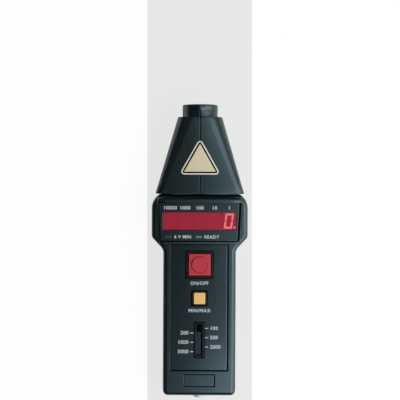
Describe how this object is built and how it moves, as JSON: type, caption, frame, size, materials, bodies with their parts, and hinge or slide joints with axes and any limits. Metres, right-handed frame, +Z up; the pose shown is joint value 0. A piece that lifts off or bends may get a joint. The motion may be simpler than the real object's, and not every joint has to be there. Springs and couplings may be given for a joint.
{
  "type": "laser tachometer",
  "caption": "Handheld laser tachometer with a slim grip, a wider display head, a split nose cone, push buttons and a sliding selector.",
  "frame": {"origin": "middle of the part's footprint on the surface that it lies on, back down", "axes": "+X across the grip, +Y from the tail to the nose, +Z up out of the face"},
  "size_m": [0.082, 0.2484, 0.0441],
  "materials": {
    "case": "fine moulded texture, slate black",
    "trim": "smooth black",
    "panel": "satin black",
    "surround": "satin black",
    "knob": "matt black",
    "red_button": "satin red",
    "yellow_button": "satin amber",
    "filter": "clear red acrylic",
    "digits": "red epoxy face",
    "red_lamp": "unlit red lamp",
    "clear_lamp": "unlit clear lamp",
    "lens": "polished",
    "board": "green circuit board",
    "lead": "grey flat lead",
    "battery": "plain sleeve",
    "steel": "plated",
    "brass": "turned"
  },
  "bodies": {
    "case": {"front_shell": "case", "rear_shell": "case", "nose_left": "case", "nose_right": "case", "window_ring": "trim", "nose_lens": "lens", "laser_module": "brass", "sensor_board": "board", "photodiode": "steel", "sensor_lead": "lead", "display_surround": "surround", "display_filter": "filter", "digit_1": "digits", "digit_2": "digits", "digit_3": "digits", "digit_4": "digits", "digit_5": "digits", "low_battery_lamp": "red_lamp", "target_lamp": "clear_lamp", "display_board": "board", "board_header": "trim", "control_panel": "panel", "measure_bezel": "trim", "measure_spring": "steel", "measure_switch": "trim", "recall_bezel": "trim", "recall_spring": "steel", "recall_switch": "trim", "selector_bezel": "trim", "selector_switch": "trim", "main_board": "board", "microcontroller": "trim", "crystal": "steel", "output_jack": "trim", "jack_nut": "steel", "battery_1": "battery", "battery_2": "battery", "battery_3": "battery", "battery_4": "battery", "contact_plates": "steel", "contact_springs": "steel", "tripod_bush": "brass", "case_screws": "steel", "board_screws": "steel"},
    "measure_key": {"measure_button": "red_button", "measure_plunger": "trim"},
    "recall_key": {"recall_button": "yellow_button", "recall_plunger": "trim"},
    "selector": {"selector_knob": "knob"},
    "cover": {"battery_cover": "case"}
  },
  "joints": [
    {"name": "measure_press", "type": "slide", "parent": "case", "child": "measure_key", "axis": [0, 0, -1], "range_m": [0, 0.0022], "stiffness_N_per_m": 600, "springref_m": -0.001, "deforming": ["measure_spring"]},
    {"name": "recall_press", "type": "slide", "parent": "case", "child": "recall_key", "axis": [0, 0, -1], "range_m": [0, 0.001], "stiffness_N_per_m": 800, "springref_m": -0.001, "deforming": ["recall_spring"]},
    {"name": "selector_slide", "type": "slide", "parent": "case", "child": "selector", "axis": [0, -1, 0], "range_m": [0, 0.01975]},
    {"name": "cover_slide", "type": "slide", "parent": "case", "child": "cover", "axis": [0, -1, 0], "range_m": [0, 0.115]}
  ]
}
